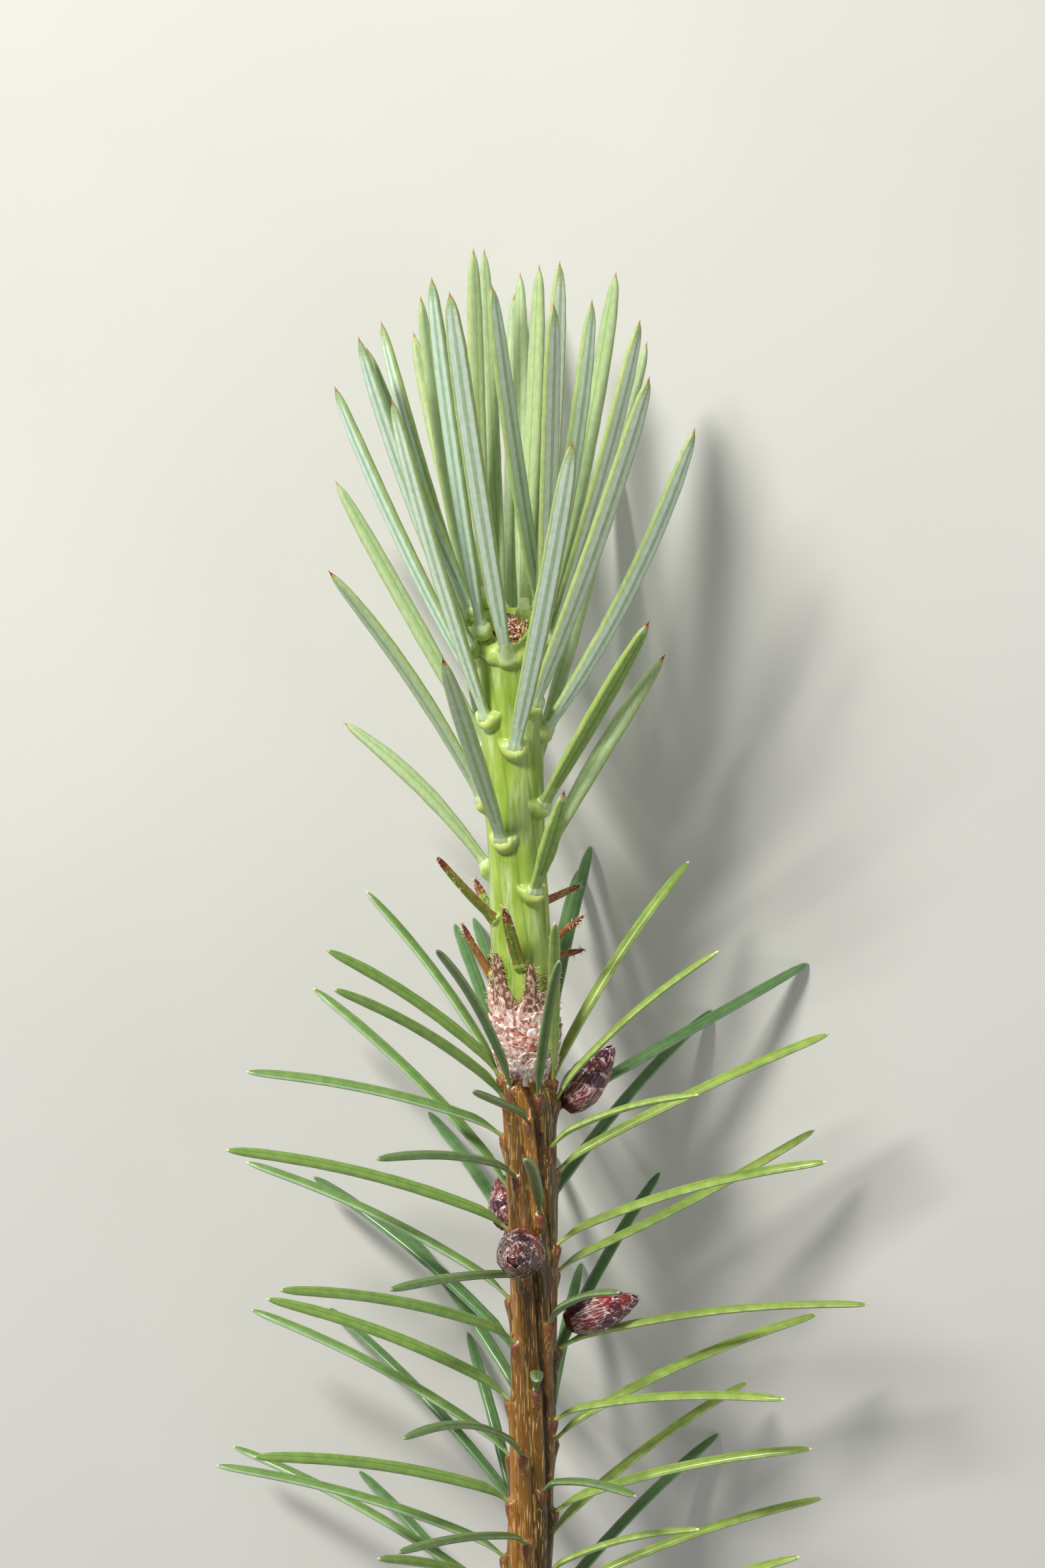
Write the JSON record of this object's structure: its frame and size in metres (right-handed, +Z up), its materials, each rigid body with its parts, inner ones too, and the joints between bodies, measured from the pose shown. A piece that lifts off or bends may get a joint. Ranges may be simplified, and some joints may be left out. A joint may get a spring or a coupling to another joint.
{
  "type": "douglas fir shoot",
  "caption": "Cut leading shoot of a conifer with brown older wood, green new wood, spiralled flat needles and pointed buds, lying on its needles.",
  "frame": {"origin": "middle of the shoot's box, on the surface that it lies on", "axes": "+Y along the stem from the cut to the tip, +Z up, +X to the right when looking down with the tip away from the viewer"},
  "size_m": [0.0568, 0.127, 0.0364],
  "materials": {
    "old_bark": "glossy ridged bark",
    "new_bark": "smooth waxy green bark",
    "bud_scales": "papery matte scales",
    "buds": "resinous overlapping scales",
    "old_needles": "waxy leaf, satin",
    "new_needles": "waxy leaf with pale bands, satin"
  },
  "bodies": {
    "root": {"stem_last_year": "old_bark", "stem_new": "new_bark", "bud_scale_collar": "bud_scales", "bud_upper_right": "buds", "bud_front": "buds", "bud_left": "buds", "bud_lower_right": "buds", "bud_tip": "buds", "needles_old_1": "old_needles", "needles_old_2": "old_needles", "needles_old_3": "old_needles", "needles_old_4": "old_needles", "needles_old_5": "old_needles", "needles_old_6": "old_needles", "needles_old_7": "old_needles", "needles_old_8": "old_needles", "needles_new_1": "new_needles", "needles_new_2": "new_needles", "needles_new_3": "new_needles", "needles_new_4": "new_needles", "needles_new_5": "new_needles", "needles_new_6": "new_needles", "needles_new_7": "new_needles", "needles_new_8": "new_needles"}
  },
  "joints": []
}
